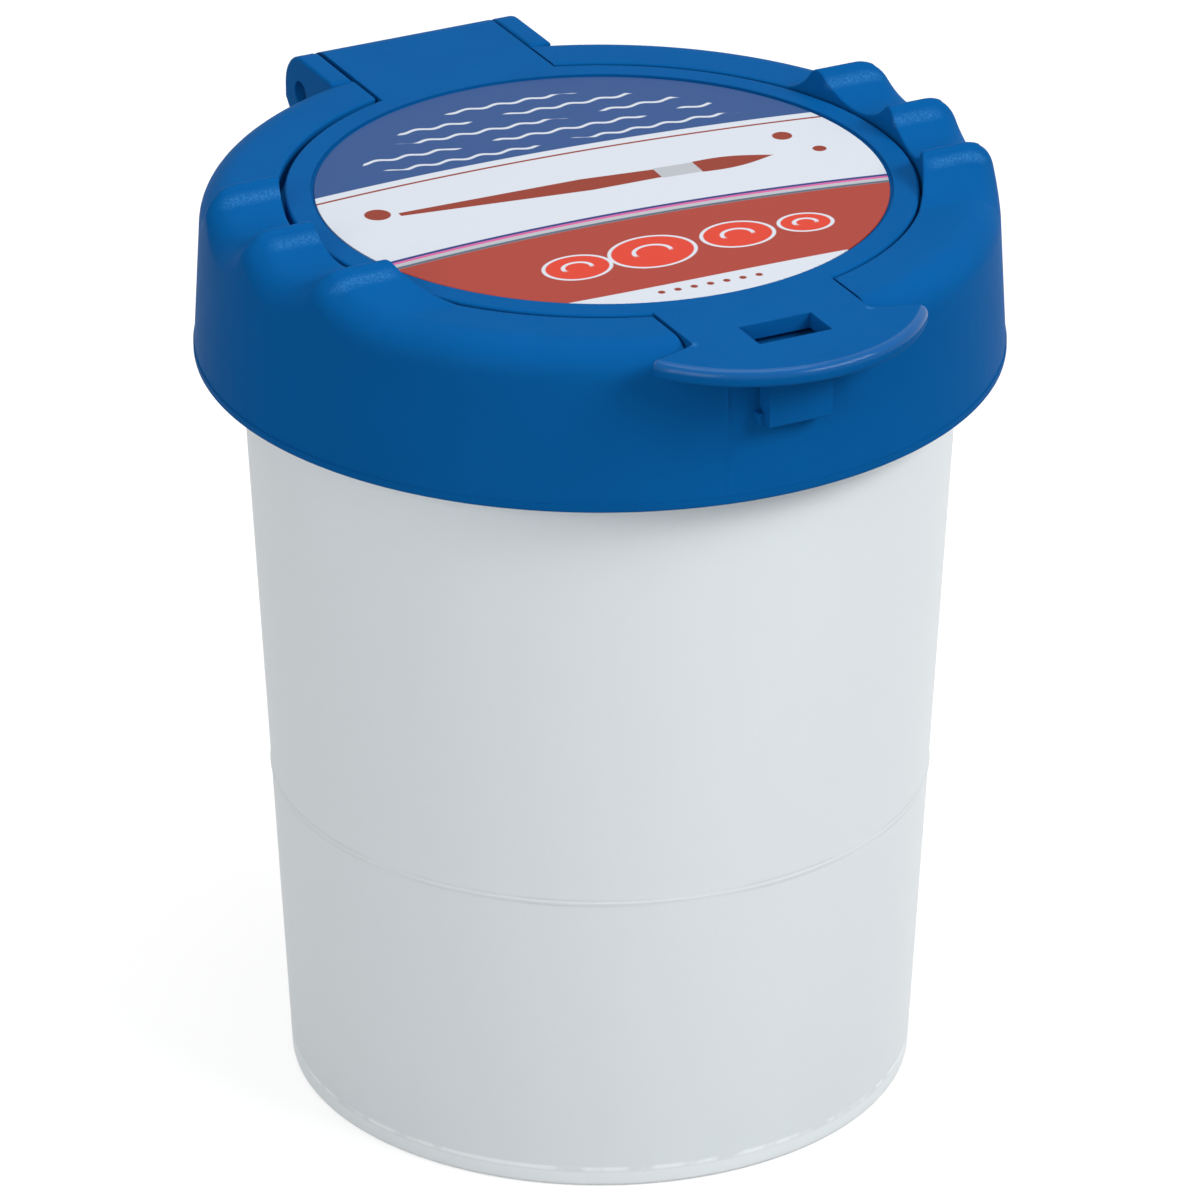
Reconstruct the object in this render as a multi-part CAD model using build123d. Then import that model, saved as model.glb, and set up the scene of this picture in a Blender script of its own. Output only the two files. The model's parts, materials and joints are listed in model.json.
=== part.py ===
from build123d import *
import os
from math import copysign, radians, sqrt, tan

# Frame: the origin is the centre of the cup's foot on the table, +Z is up, +X is to the right,
# -Y is the latch side and +Y the hinge side. Sizes are in millimetres, angles in degrees.

# Cup: a drafted wall on a foot ring, with a straight threaded neck
cup_foot_radius = 31.4
cup_draft_deg = 2.9
cup_rim_height = 88.2
cup_neck_length = 9.7
cup_wall = 1.3
cup_floor = 1.5
cup_floor_round = 2.0
cup_rim_round = 0.3
foot_recess = 1.7
foot_edge_round = 0.5
fill_mark_height = 32.6
fill_mark_width = 0.6
fill_mark_proud = 0.12

# Screw thread between the cup and the collar
thread_pitch = 4.0
thread_turns = 1.25
thread_depth = 1.7
thread_root_width = 1.8
thread_crest_width = 0.8
thread_clearance = 0.4
thread_flank_gap = 0.35
thread_rim_gap = 2.6
thread_sink = 0.3

# Collar: skirt, ring, deck and the recess that the flap lies in
collar_wall = 1.65
collar_skirt_length = 12.6
collar_draft_deg = 3.3
collar_top_round = 3.4
collar_ring_width = 7.7
collar_deck = 1.7
collar_recess_depth = 2.1
collar_ledge_width = 5.4
collar_mouth_wall = 1.7
collar_mouth_depth = 2.2
collar_mouth_taper = 0.8
base_band_height = 0.85
base_band_proud = 0.12

# Brush rests: three crests and the scallops between them, on each side of the flap
rest_pitch = 11.5
rest_middle_y = -1.0
rest_rise = 2.8
rest_valley_rise = 0.25
rest_crest_round = 0.9
rest_back_run = 4.8
rest_front_run = 9.0
rest_foot_sink = 0.15

# Flap: disc, hinge tongue, neck, finger tab and latch
flap_gap = 0.5
flap_floor_gap = 0.2
flap_thickness = 2.0
flap_edge_round = 0.3
flap_edge_chamfer = 0.5
flap_slot_gap = 0.35
label_margin = 2.88
label_edge_gap = 0.35
label_recess = 0.3
label_thickness = 0.15
plug_clearance = 0.35
plug_wall = 1.2
plug_depth = 3.6
plug_chamfer = 0.4
neck_half_width = 9.4
tab_reach = 8.3
tab_thickness = 1.6
tab_arc_radius = 17.7
tab_wing_sweep = 1.7
tab_ring_gap = 0.3
tab_tip_round = 1.3
tab_edge_round = 0.5
window_half_width = 3.85
window_length = 4.3
hook_thickness = 1.25
hook_half_width = 3.4
hook_length = 6.7
foot_half_width = 4.0
foot_height = 1.2
foot_reach = 0.55
catch_reach = 0.35
catch_gap = 0.2
catch_height = 1.2
catch_slope = 0.9

# Hinge at the back
pin_radius = 1.25
pin_press_gap = 0.03
pin_running_gap = 0.08
pin_end_setback = 0.9
tongue_half_width = 9.6
barrel_radius = 3.0
barrel_gap = 0.3
ear_radius = 3.8
ear_thickness = 2.4
ear_drop = 1.6
ear_web_length = 9.0

# Spill funnel, gasket and flap seal
funnel_wall = 1.2
funnel_flange = 1.2
funnel_grip = 0.5
funnel_mouth_depth = 3.2
funnel_cone_depth = 21.0
funnel_tube_length = 15.0
funnel_tube_radius = 11.0
gasket_thickness = 1.0
gasket_overlap = 0.5
seal_ease = 0.1
seal_width = 2.6
seal_thickness = 1.0

# One overrun for every cut
overrun = 2.0

# Heights that follow from the stack on the cup's rim
neck_base_height = cup_rim_height - cup_neck_length
flange_base_height = cup_rim_height + gasket_thickness
deck_base_height = flange_base_height + funnel_flange
recess_floor_height = deck_base_height + collar_deck
ring_top_height = recess_floor_height + collar_recess_depth
shoulder_height = ring_top_height - collar_top_round
collar_base_height = deck_base_height - collar_skirt_length
crest_height = ring_top_height + rest_rise
valley_height = ring_top_height + rest_valley_rise
flap_base_height = recess_floor_height + flap_floor_gap
flap_top_height = flap_base_height + flap_thickness
tab_base_height = flap_top_height - tab_thickness
hook_base_height = tab_base_height - hook_length
hinge_height = flap_top_height - ear_radius

# Radii that follow from the cup's neck outwards
neck_radius = cup_foot_radius + neck_base_height * tan(radians(cup_draft_deg))
cup_thread_radius = neck_radius + thread_depth
collar_bore_radius = cup_thread_radius + thread_clearance
collar_thread_radius = neck_radius + thread_clearance
shoulder_radius = collar_bore_radius + collar_wall
collar_flare = tan(radians(collar_draft_deg))
collar_base_radius = shoulder_radius + (shoulder_height - collar_base_height) * collar_flare
recess_radius = shoulder_radius - collar_ring_width
flap_radius = recess_radius - flap_gap
label_radius = flap_radius - label_margin
mouth_radius = recess_radius - collar_ledge_width
plug_radius = mouth_radius - plug_clearance
hinge_y = shoulder_radius + barrel_gap + barrel_radius
tab_front_y = -(shoulder_radius + tab_reach)
catch_base_height = hook_base_height + foot_height + catch_gap
catch_foot_radius = shoulder_radius + (shoulder_height - catch_base_height) * collar_flare
catch_tip_y = -(catch_foot_radius + catch_reach)
foot_tip_y = catch_tip_y - catch_gap
hook_back_y = foot_tip_y - foot_reach
hook_front_y = hook_back_y - hook_thickness

# Start heights of the two thread ridges
cup_thread_start = cup_rim_height - thread_rim_gap - thread_pitch * thread_turns
thread_offset = (thread_root_width + thread_crest_width) / 2 + thread_flank_gap
collar_thread_start = cup_thread_start - thread_offset


def cup_radius(height):
    """Outer radius of the drafted cup wall at a height."""
    return cup_foot_radius + height * tan(radians(cup_draft_deg))


def skirt_radius(height):
    """Outer radius of the collar's drafted skirt, and of the rests above it, at a height."""
    return shoulder_radius + (shoulder_height - height) * collar_flare


def turned(*points):
    """Solid turned round the Z axis from an outline of (radius, height) points."""
    return revolve(Plane.XZ * make_face(Polyline(*points, close=True)), Axis.Z)


def washer(outer_radius, inner_radius, base_height, thickness):
    """Flat ring round the Z axis."""
    top = base_height + thickness
    return turned((inner_radius, base_height), (outer_radius, base_height),
                  (outer_radius, top), (inner_radius, top))


def block(low, high):
    """Rectangular solid between two corners."""
    size = [b - a for a, b in zip(low, high)]
    return Pos(*low) * Box(*size, align=(Align.MIN, Align.MIN, Align.MIN))


def across(sketch, half_width, centre_x=0):
    """Solid made by giving a sketch in the YZ plane a width along X."""
    return Pos(centre_x, 0, 0) * extrude(Plane.YZ * sketch, amount=half_width, both=True)


def circles_at(solid, place):
    """The circular edges of a turned solid at one level: 0 the lowest, -1 the highest."""
    return solid.edges().filter_by(GeomType.CIRCLE).group_by(Axis.Z)[place]


def thread_ridge(root_radius, crest_radius, start_height):
    """Helical ridge on a wall, from the wall's radius to the ridge's crest radius."""
    helix = Helix(pitch=thread_pitch, height=thread_pitch * thread_turns, radius=root_radius)
    depth = crest_radius - root_radius
    sink = -copysign(thread_sink, depth)
    root, crest = thread_root_width / 2, thread_crest_width / 2
    outline = Polyline((sink, -root), (depth, -crest), (depth, crest), (sink, root), close=True)
    section = Plane(origin=helix @ 0, x_dir=(1, 0, 0), z_dir=helix % 0) * make_face(outline)
    return Pos(0, 0, start_height) * sweep(section, path=helix, is_frenet=True)


def make_cup():
    """Drafted cup with a foot ring below its floor, a fill mark and a threaded neck."""
    body = turned((0, 0), (cup_foot_radius, 0), (neck_radius, neck_base_height),
                  (neck_radius, cup_rim_height), (0, cup_rim_height))
    body = fillet(circles_at(body, 0), foot_edge_round)
    floor_top = foot_recess + cup_floor
    inside = turned((0, floor_top), (cup_radius(floor_top) - cup_wall, floor_top),
                    (neck_radius - cup_wall, neck_base_height),
                    (neck_radius - cup_wall, cup_rim_height + overrun),
                    (0, cup_rim_height + overrun))
    inside = fillet(circles_at(inside, 0), cup_floor_round)
    foot_inner = cup_foot_radius - cup_wall
    under = turned((0, -overrun), (foot_inner, -overrun), (foot_inner, foot_recess),
                   (0, foot_recess))
    shell = fillet(circles_at(body - inside - under, -1), cup_rim_round)
    mark_radius = cup_radius(fill_mark_height)
    mark = turned((mark_radius - cup_wall / 2, fill_mark_height - fill_mark_width / 2),
                  (mark_radius, fill_mark_height - fill_mark_width / 2),
                  (mark_radius + fill_mark_proud, fill_mark_height),
                  (mark_radius, fill_mark_height + fill_mark_width / 2),
                  (mark_radius - cup_wall / 2, fill_mark_height + fill_mark_width / 2))
    ridge = thread_ridge(neck_radius, cup_thread_radius, cup_thread_start)
    return shell + mark + ridge


def collar_blank():
    """Solid outside of the collar: band, drafted skirt and ring with a rounded shoulder."""
    band_top = collar_base_height + base_band_height
    band_radius = collar_base_radius + base_band_proud
    blank = turned((0, collar_base_height), (band_radius, collar_base_height),
                   (band_radius, band_top), (skirt_radius(band_top), band_top),
                   (skirt_radius(ring_top_height), ring_top_height), (0, ring_top_height))
    return fillet(circles_at(blank, -1), collar_top_round)


def rest_slope(crest_y, low_y, low_z):
    """Concave slope of a rest: where it leaves the round crest, a point halfway and its low end."""
    run, drop = low_y - crest_y, crest_height - low_z
    centre_distance = (run ** 2 + drop ** 2) / (2 * drop)
    slope_radius = centre_distance - rest_crest_round
    round_share = rest_crest_round / centre_distance
    leave = (crest_y + round_share * run, crest_height - round_share * drop)
    halfway_y = (leave[0] + low_y) / 2
    rise = slope_radius - sqrt(slope_radius ** 2 - (halfway_y - low_y) ** 2)
    return leave, (halfway_y, low_z + rise), (low_y, low_z)


def rest_profile():
    """Side view of the brush rests: a ramp up, three crests with scallops, a long ramp down."""
    crests = [rest_middle_y + rest_pitch * place for place in (-1, 0, 1)]
    foot_z = ring_top_height - rest_foot_sink
    lows = [(crests[0] - rest_front_run, foot_z)]
    lows += [(crest_y + rest_pitch / 2, valley_height) for crest_y in crests[:-1]]
    lows += [(crests[-1] + rest_back_run, foot_z)]
    top = []
    for crest_y, before, after in zip(crests, lows, lows[1:]):
        rising, falling = rest_slope(crest_y, *before), rest_slope(crest_y, *after)
        top += [ThreePointArc(*reversed(rising)),
                ThreePointArc(rising[0], (crest_y, crest_height), falling[0]),
                ThreePointArc(*falling)]
    base = shoulder_height - overrun
    return make_face(top + [Polyline(lows[0], (lows[0][0], base), (lows[-1][0], base), lows[-1])])


def brush_rests():
    """Both brush rests, as wide as the collar and rounded over at their outer ends."""
    reach = shoulder_radius + overrun
    bar = across(rest_profile(), reach)
    base = shoulder_height - overrun
    dome = turned((0, base), (skirt_radius(base), base),
                  (skirt_radius(crest_height), crest_height), (0, crest_height))
    dome = fillet(circles_at(dome, -1), collar_top_round)
    return bar & dome


def hinge_ear(side):
    """One ear of the hinge, with its web running down into the skirt."""
    top = hinge_height + ear_radius
    back = hinge_y + ear_radius
    root = recess_radius + collar_ring_width / 2
    web_base = hinge_height - ear_web_length
    outline = Polyline((root, top), (hinge_y, top), (hinge_y, hinge_height),
                       (back, hinge_height), (back, hinge_height - ear_drop),
                       (shoulder_radius - collar_wall, web_base), (root, web_base), close=True)
    profile = make_face(outline) + Pos(hinge_y, hinge_height) * Circle(ear_radius)
    centre_x = tongue_half_width + flap_slot_gap + ear_thickness / 2
    return across(profile, ear_thickness / 2, side * centre_x)


def latch_catch():
    """Small rib on the skirt above the latch's foot, sloped on top."""
    base, top = catch_base_height, catch_base_height + catch_height
    root_y = -(collar_bore_radius + collar_wall / 2)
    outline = Polyline((root_y, base), (catch_tip_y, base), (catch_tip_y, top - catch_slope),
                       (root_y, top), close=True)
    return across(make_face(outline), hook_half_width)


def collar_inside():
    """All that is turned out of the collar: bore, flap opening and flap recess."""
    mouth = collar_base_radius - collar_mouth_wall
    mouth_top = collar_base_height + collar_mouth_depth
    bore = turned((0, collar_base_height - overrun), (mouth, collar_base_height - overrun),
                  (mouth, mouth_top), (collar_bore_radius, mouth_top + collar_mouth_taper),
                  (collar_bore_radius, deck_base_height), (0, deck_base_height))
    opening = washer(mouth_radius, 0, deck_base_height - overrun, collar_deck + 2 * overrun)
    recess = washer(recess_radius, 0, recess_floor_height, crest_height)
    return bore + opening + recess


def make_collar():
    """Screw collar with the flap's recess, brush rests, hinge ears and latch catch."""
    collar = collar_blank() + brush_rests()
    collar += [hinge_ear(side) for side in (-1, 1)]
    collar += latch_catch()
    collar -= collar_inside()
    reach = shoulder_radius + ear_radius + hinge_y
    neck_slot = neck_half_width + flap_slot_gap
    tongue_slot = tongue_half_width + flap_slot_gap
    collar -= block((-neck_slot, -reach, recess_floor_height), (neck_slot, 0, crest_height))
    collar -= block((-tongue_slot, 0, recess_floor_height), (tongue_slot, reach, crest_height))
    pin_hole = Circle(pin_radius + pin_running_gap)
    collar -= across(Pos(hinge_y, hinge_height) * pin_hole, reach)
    return collar + thread_ridge(collar_bore_radius, collar_thread_radius, collar_thread_start)


def flap_disc():
    """Round plate of the flap, chamfered below so that it swings clear of the recess."""
    disc = turned((0, flap_base_height), (flap_radius - flap_edge_chamfer, flap_base_height),
                  (flap_radius, flap_base_height + flap_edge_chamfer),
                  (flap_radius, flap_top_height), (0, flap_top_height))
    return fillet(circles_at(disc, -1), flap_edge_round)


def flap_pockets():
    """What is turned out of the flap: the label's shallow recess and the seal's groove."""
    pocket_radius = label_radius + label_edge_gap
    groove_inner = plug_radius
    groove_outer = plug_radius + seal_width + 2 * seal_ease
    groove_base = recess_floor_height - overrun
    pocket = washer(pocket_radius, 0, flap_top_height - label_recess, label_recess + overrun)
    return pocket + washer(groove_outer, groove_inner, groove_base, seal_thickness + overrun)


def flap_plug():
    """Plug ring below the flap, with a lead-in chamfer."""
    base = flap_base_height - plug_depth
    root = flap_base_height + flap_edge_chamfer
    inner = plug_radius - plug_wall
    return turned((inner, base), (plug_radius - plug_chamfer, base),
                  (plug_radius, base + plug_chamfer), (plug_radius, root), (inner, root))


def flap_tongue():
    """Hinge tongue: a plate over the ring, ending in a heel round the barrel."""
    plate = Polyline((plug_radius, flap_base_height), (hinge_y, flap_base_height),
                     (hinge_y, flap_top_height), (plug_radius, flap_top_height), close=True)
    heel = Pos(hinge_y, hinge_height) * Circle(ear_radius)
    quarter = Pos(hinge_y, hinge_height) * Rectangle(ear_radius, ear_radius,
                                                     align=(Align.MIN, Align.MIN))
    barrel = Pos(hinge_y, hinge_height) * Circle(barrel_radius)
    return across(make_face(plate) + (heel & quarter) + barrel, tongue_half_width)


def flap_tab():
    """Neck and finger tab in one plate: the tab is a segment of a circle with rounded tips."""
    over_shoulder = sqrt((collar_top_round + tab_ring_gap) ** 2
                         - (tab_base_height - shoulder_height) ** 2)
    corner_radius = shoulder_radius - collar_top_round + over_shoulder
    slot = neck_half_width + flap_slot_gap
    corner_y = -sqrt(corner_radius ** 2 - slot ** 2)
    wing_y = corner_y - tab_wing_sweep
    far = tab_arc_radius
    behind_arc = Polyline((-far, wing_y), (-neck_half_width, corner_y),
                          (neck_half_width, corner_y), (far, wing_y),
                          (far, tab_front_y - overrun), (-far, tab_front_y - overrun), close=True)
    disc = Pos(0, tab_front_y + tab_arc_radius) * Circle(tab_arc_radius)
    segment = make_face(behind_arc) & disc
    tips = segment.vertices().group_by(Axis.X)
    segment = fillet(tips[0] + tips[-1], tab_tip_round)
    neck = Pos(0, corner_y) * Rectangle(2 * neck_half_width, -corner_y - plug_radius,
                                        align=(Align.CENTER, Align.MIN))
    tab = Pos(0, 0, tab_base_height) * extrude(segment, amount=tab_thickness)
    rim = tab.faces().sort_by(Axis.Z)[-1].edges().filter_by(GeomType.CIRCLE)
    tab = fillet(rim, tab_edge_round)
    return tab + Pos(0, 0, tab_base_height) * extrude(neck, amount=tab_thickness)


def latch_hook():
    """Latch plate under the tab, with a foot that points back at the skirt."""
    foot_top = hook_base_height + foot_height
    plate_top = flap_top_height - tab_thickness / 2
    plate = Polyline((hook_front_y, hook_base_height), (hook_front_y, plate_top),
                     (hook_back_y, plate_top), (hook_back_y, hook_base_height), close=True)
    foot_front_y = hook_back_y - hook_thickness / 2
    foot = Polyline((foot_front_y, hook_base_height), (hook_back_y, hook_base_height),
                    (foot_tip_y, foot_top - foot_height / 2), (foot_tip_y, foot_top),
                    (foot_front_y, foot_top), close=True)
    return across(make_face(plate), hook_half_width) + across(make_face(foot), foot_half_width)


def make_flap():
    """Flap in one piece: disc, tongue, neck, tab and latch, with the pin's bore."""
    flap = flap_disc() + flap_tongue() + flap_tab()
    flap = flap - flap_pockets() + flap_plug()
    flap -= block((-window_half_width, hook_back_y, tab_base_height - overrun),
                  (window_half_width, hook_back_y + window_length, flap_top_height + overrun))
    flap += latch_hook()
    bore = Circle(pin_radius + pin_press_gap)
    return flap - across(Pos(hinge_y, hinge_height) * bore, tongue_half_width + overrun)


def make_funnel():
    """Spill funnel: flange, short mouth, cone and a tube that ends above the fill mark."""
    top = deck_base_height
    outer = funnel_wall + mouth_radius
    flange_radius = collar_thread_radius + funnel_grip
    mouth_base = top - funnel_mouth_depth
    cone_base = mouth_base - funnel_cone_depth
    tube_base = cone_base - funnel_tube_length
    tube_outer = funnel_tube_radius + funnel_wall
    return turned((mouth_radius, top), (flange_radius, top), (flange_radius, flange_base_height),
                  (outer, flange_base_height), (outer, mouth_base), (tube_outer, cone_base),
                  (tube_outer, tube_base), (funnel_tube_radius, tube_base),
                  (funnel_tube_radius, cone_base), (mouth_radius, mouth_base))


def make_gasket():
    """Flat gasket between the cup's rim and the funnel's flange."""
    inner = neck_radius - cup_wall - gasket_overlap
    return washer(neck_radius, inner, cup_rim_height, gasket_thickness)


def make_seal():
    """Flat ring round the plug, pressed between the flap and the collar's ledge."""
    inner = plug_radius + seal_ease
    return washer(inner + seal_width, inner, recess_floor_height, seal_thickness)


def make_label():
    """Thin round label in the flap's recess."""
    return washer(label_radius, 0, flap_top_height - label_recess, label_thickness)


def make_pin():
    """Hinge pin, its ends set back inside the ears."""
    half_length = tongue_half_width + flap_slot_gap + ear_thickness - pin_end_setback
    return across(Pos(hinge_y, hinge_height) * Circle(pin_radius), half_length)


nodes = {
    "cup": make_cup,
    "screw_collar": make_collar,
    "spill_funnel": make_funnel,
    "rim_gasket": make_gasket,
    "flap_lid": make_flap,
    "flap_seal": make_seal,
    "flap_label": make_label,
    "hinge_pin": make_pin,
}

os.makedirs("parts", exist_ok=True)
for name, make in nodes.items():
    export_step(make(), f"parts/{name}.step")
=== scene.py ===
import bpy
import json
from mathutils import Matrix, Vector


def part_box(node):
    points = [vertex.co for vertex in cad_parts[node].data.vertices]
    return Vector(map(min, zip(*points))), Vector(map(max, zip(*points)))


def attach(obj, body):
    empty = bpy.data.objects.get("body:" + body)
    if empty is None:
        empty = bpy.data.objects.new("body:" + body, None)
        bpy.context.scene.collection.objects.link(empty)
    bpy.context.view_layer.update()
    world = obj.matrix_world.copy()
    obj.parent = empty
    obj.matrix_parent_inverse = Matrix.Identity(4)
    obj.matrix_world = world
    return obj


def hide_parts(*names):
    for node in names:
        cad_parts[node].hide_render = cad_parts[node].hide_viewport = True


bl_info = {
    "name": "Paint Cup With Lid",
    "version": (1, 0, 0),
    "blender": (4, 5, 0),
    "location": "View3D > Sidebar > Paint Cup",
    "description": "Models and dresses a brush-rinsing cup with a screw collar and a hinged flap",
    "category": "Object",
}

import json
from math import hypot, pi, radians, sqrt, tan, tau

import bmesh
import bpy
from bpy.props import FloatProperty, FloatVectorProperty, IntProperty, PointerProperty
from mathutils import Matrix, Vector

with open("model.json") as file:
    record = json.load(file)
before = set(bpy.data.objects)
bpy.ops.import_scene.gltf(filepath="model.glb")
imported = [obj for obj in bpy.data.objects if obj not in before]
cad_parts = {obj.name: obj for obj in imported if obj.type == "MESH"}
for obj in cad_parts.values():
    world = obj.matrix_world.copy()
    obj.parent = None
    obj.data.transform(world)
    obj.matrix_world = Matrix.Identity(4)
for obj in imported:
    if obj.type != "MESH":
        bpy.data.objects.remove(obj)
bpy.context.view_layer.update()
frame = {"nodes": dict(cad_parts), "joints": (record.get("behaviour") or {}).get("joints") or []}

# Lengths are written in millimetres times MM, which makes them metres
MM = 0.001
MERGE_DISTANCE = 0.002 * MM
OVERRUN = 2.0 * MM
SOFTENED_ANGLE = radians(30)
SHARP_ANGLE = radians(35)
SMALL_ROUND = 1.0 * MM
SMALL_ROUND_STEPS = 4
LARGE_ROUND_STEPS = 12


def length(name, size, about):
    """Property for a length, shown in the scene's units."""
    return FloatProperty(name=name, description=about, default=size, min=0.0,
                         precision=5, subtype="DISTANCE", unit="LENGTH")


def place(name, size, about):
    """Property for a place along an axis, which may be negative."""
    return FloatProperty(name=name, description=about, default=size,
                         precision=5, subtype="DISTANCE", unit="LENGTH")


def number(name, level, about):
    """Property for a plain number, or for a count."""
    kind = IntProperty if isinstance(level, int) else FloatProperty
    return kind(name=name, description=about, default=level)


def angle(name, degrees, about):
    """Property for an angle."""
    return FloatProperty(name=name, description=about, default=radians(degrees),
                         subtype="ANGLE", unit="ROTATION")


def colour(name, red, green, blue, about):
    """Property for a colour that is given as it looks on a screen, in 0 to 255."""
    return FloatVectorProperty(name=name, description=about, subtype="COLOR", size=4,
                               min=0.0, max=1.0,
                               default=(*map(linear, (red, green, blue)), 1.0))


def linear(level):
    """Linear light level of a screen level from 0 to 255."""
    share = level / 255
    return share / 12.92 if share <= 0.04045 else ((share + 0.055) / 1.055) ** 2.4


BOXES = {node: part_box(node) for node in frame["nodes"]}


def low(node):
    return BOXES[node][0]


def high(node):
    return BOXES[node][1]


HINGE = Vector(next(j["pos_m"] for j in frame["joints"] if j["name"] == "flap_hinge"))


class CupSizes(bpy.types.PropertyGroup):
    """Sizes of the frosted cup."""
    foot_radius: length("Foot radius", 31.4 * MM, "Outer radius of the foot ring")
    draft: angle("Draft", 2.9, "Slope of the wall")
    rim_height: length("Rim height", high("cup").z, "Height of the rim above the table")
    neck_length: length("Neck length", 9.7 * MM, "Length of the straight threaded neck")
    wall: length("Wall", 1.3 * MM, "Thickness of the wall")
    floor: length("Floor", 1.5 * MM, "Thickness of the floor")
    floor_round: length("Floor round", 2.0 * MM, "Round between floor and wall, inside")
    rim_round: length("Rim round", 0.3 * MM, "Round of the rim's edges")
    foot_recess: length("Foot recess", 1.7 * MM, "How far the floor stands above the foot")
    foot_round: length("Foot round", 0.5 * MM, "Round of the foot's outer edge")
    mark_height: length("Fill mark", 32.6 * MM, "Height of the fill mark")
    mark_width: length("Mark width", 0.6 * MM, "Width of the fill mark")
    mark_proud: length("Mark proud", 0.1 * MM, "How far the fill mark stands out")


class ThreadSizes(bpy.types.PropertyGroup):
    """Sizes of the screw thread on the cup's neck and in the collar."""
    pitch: length("Pitch", 4.0 * MM, "Rise of one turn")
    turns: number("Turns", 1.25, "Turns of each ridge")
    depth: length("Depth", 1.7 * MM, "Height of the cup's ridge above its neck")
    root_width: length("Root width", 1.8 * MM, "Width of a ridge where it meets the wall")
    crest_width: length("Crest width", 0.8 * MM, "Width of a ridge at its crest")
    clearance: length("Clearance", 0.4 * MM, "Gap between a crest and the other wall")
    flank_gap: length("Flank gap", 0.35 * MM, "Gap between the two ridges' flanks")
    rim_gap: length("Rim gap", 2.6 * MM, "From the end of the cup's ridge to the rim")
    sink: length("Sink", 0.3 * MM, "How deep a ridge is rooted in its wall")


class CollarSizes(bpy.types.PropertyGroup):
    """Sizes of the screw collar."""
    base: length("Base", low("screw_collar").z, "Height of the lower edge")
    deck_base: length("Deck base", high("spill_funnel").z, "Height of the deck's underside")
    recess_floor: length("Recess floor", low("flap_seal").z, "Height of the flap's recess")
    recess_depth: length("Recess depth", 2.1 * MM, "From the recess's floor to the ring's top")
    wall: length("Wall", 1.65 * MM, "Wall of the skirt at the shoulder")
    draft: angle("Draft", 3.3, "Slope of the skirt")
    top_round: length("Top round", 3.4 * MM, "Round of the shoulder")
    ring_width: length("Ring width", 7.7 * MM, "Width of the ring round the flap")
    ring_edge_round: length("Ring edge round", 0.2 * MM, "Round of the ring's inner edge")
    ledge_width: length("Ledge width", 5.4 * MM, "Width of the ledge under the flap")
    mouth_wall: length("Mouth wall", 1.7 * MM, "Wall at the lower edge")
    mouth_depth: length("Mouth depth", 2.2 * MM, "Height of the widened mouth")
    mouth_taper: length("Mouth taper", 0.8 * MM, "Height of the taper above the mouth")
    band_height: length("Band height", 0.85 * MM, "Height of the band on the lower edge")
    band_proud: length("Band proud", 0.05 * MM, "How far the band stands out")
    edge_round: length("Edge round", 0.25 * MM, "Round of the lower edge")
    seam_turn: angle("Seam turn", -99.2, "Where the mould's seam is, round from the right")
    seam_proud: length("Seam proud", 0.09 * MM, "How far the mould's seam stands out")


class RestSizes(bpy.types.PropertyGroup):
    """Sizes of the brush rests left and right of the flap."""
    pitch: length("Pitch", 11.5 * MM, "From crest to crest")
    middle_y: place("Middle crest", -1.0 * MM, "Place of the middle crest")
    valley_rise: length("Valley rise", 0.25 * MM, "Height of the valleys above the ring")
    crest_round: length("Crest round", 0.9 * MM, "Radius of the crests")
    back_run: length("Back run", 4.8 * MM, "Length of the ramp behind the last crest")
    front_run: length("Front run", 9.0 * MM, "Length of the ramp before the first crest")
    foot_sink: length("Foot sink", 0.15 * MM, "How deep the ramps end in the ring")


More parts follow.
